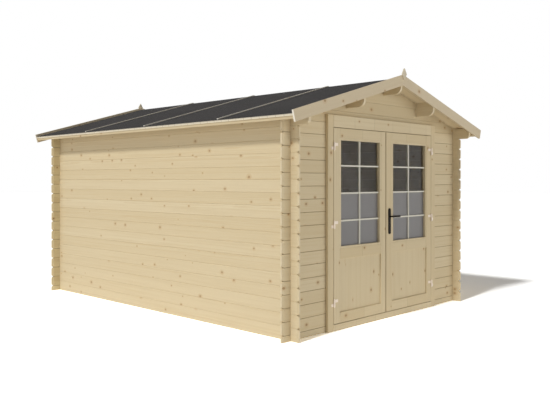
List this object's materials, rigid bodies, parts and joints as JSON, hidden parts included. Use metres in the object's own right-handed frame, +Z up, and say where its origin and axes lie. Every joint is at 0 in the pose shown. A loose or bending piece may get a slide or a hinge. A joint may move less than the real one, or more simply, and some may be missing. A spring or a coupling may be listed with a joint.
{
  "type": "log cabin",
  "caption": "Small gabled garden log cabin with interlocking corner logs, felt roof, bargeboards and glazed double doors that swing open.",
  "frame": {"origin": "on the ground, at the middle of the footprint's bounding box", "axes": "+Z up, -Y the way the doors face, +X to the right seen from the front"},
  "size_m": [3.155, 4.3938, 2.4418],
  "materials": {
    "wall_pine": "planed untreated spruce with knots",
    "roof_pine": "planed untreated spruce boards",
    "trim_pine": "planed untreated spruce trim",
    "door_pine": "planed untreated spruce joinery",
    "floor_pine": "planed floor boards",
    "roof_felt": "mineral roofing felt",
    "door_glass": "clear pane",
    "hinge_zinc": "bright zinc",
    "black_iron": "black satin"
  },
  "bodies": {
    "cabin": {"left_wall_logs": "wall_pine", "right_wall_logs": "wall_pine", "back_wall_logs": "wall_pine", "back_gable_logs": "wall_pine", "front_wall_left_logs": "wall_pine", "front_wall_right_logs": "wall_pine", "front_lintel_log": "wall_pine", "front_gable_logs": "wall_pine", "ridge_purlin": "roof_pine", "left_purlin": "roof_pine", "right_purlin": "roof_pine", "left_roof_boards": "roof_pine", "right_roof_boards": "roof_pine", "roof_felt": "roof_felt", "left_felt_laths": "trim_pine", "right_felt_laths": "trim_pine", "left_eave_batten": "trim_pine", "right_eave_batten": "trim_pine", "front_left_bargeboard": "trim_pine", "front_right_bargeboard": "trim_pine", "back_left_bargeboard": "trim_pine", "back_right_bargeboard": "trim_pine", "front_finial": "trim_pine", "back_finial": "trim_pine", "floor_bearers": "floor_pine", "floor_boards": "floor_pine", "left_door_jamb": "door_pine", "right_door_jamb": "door_pine", "door_head": "door_pine", "door_sill": "door_pine", "door_stops": "door_pine", "left_jamb_hinges": "hinge_zinc", "right_jamb_hinges": "hinge_zinc"},
    "left_door": {"left_door_stiles": "door_pine", "left_door_rails": "door_pine", "left_door_panel": "door_pine", "left_door_glass": "door_glass", "left_leaf_hinges": "hinge_zinc"},
    "right_door": {"right_door_stiles": "door_pine", "right_door_rails": "door_pine", "right_door_panel": "door_pine", "right_door_glass": "door_glass", "right_leaf_hinges": "hinge_zinc", "handle_plates": "black_iron"},
    "lever": {"door_lever": "black_iron"}
  },
  "joints": [
    {"name": "left_door_swing", "type": "hinge", "parent": "cabin", "child": "left_door", "pos_m": [-0.826, -1.9929, 0.9615], "axis": [0, 0, -1], "range_deg": [0, 150]},
    {"name": "right_door_swing", "type": "hinge", "parent": "cabin", "child": "right_door", "pos_m": [0.826, -1.9929, 0.9615], "axis": [0, 0, 1], "range_deg": [0, 150]},
    {"name": "lever_turn", "type": "hinge", "parent": "right_door", "child": "lever", "pos_m": [0.0445, -1.9845, 1.003], "axis": [0, 1, 0], "range_deg": [0, 40], "stiffness_Nm_per_rad": 1.5, "springref_deg": -22.92}
  ]
}
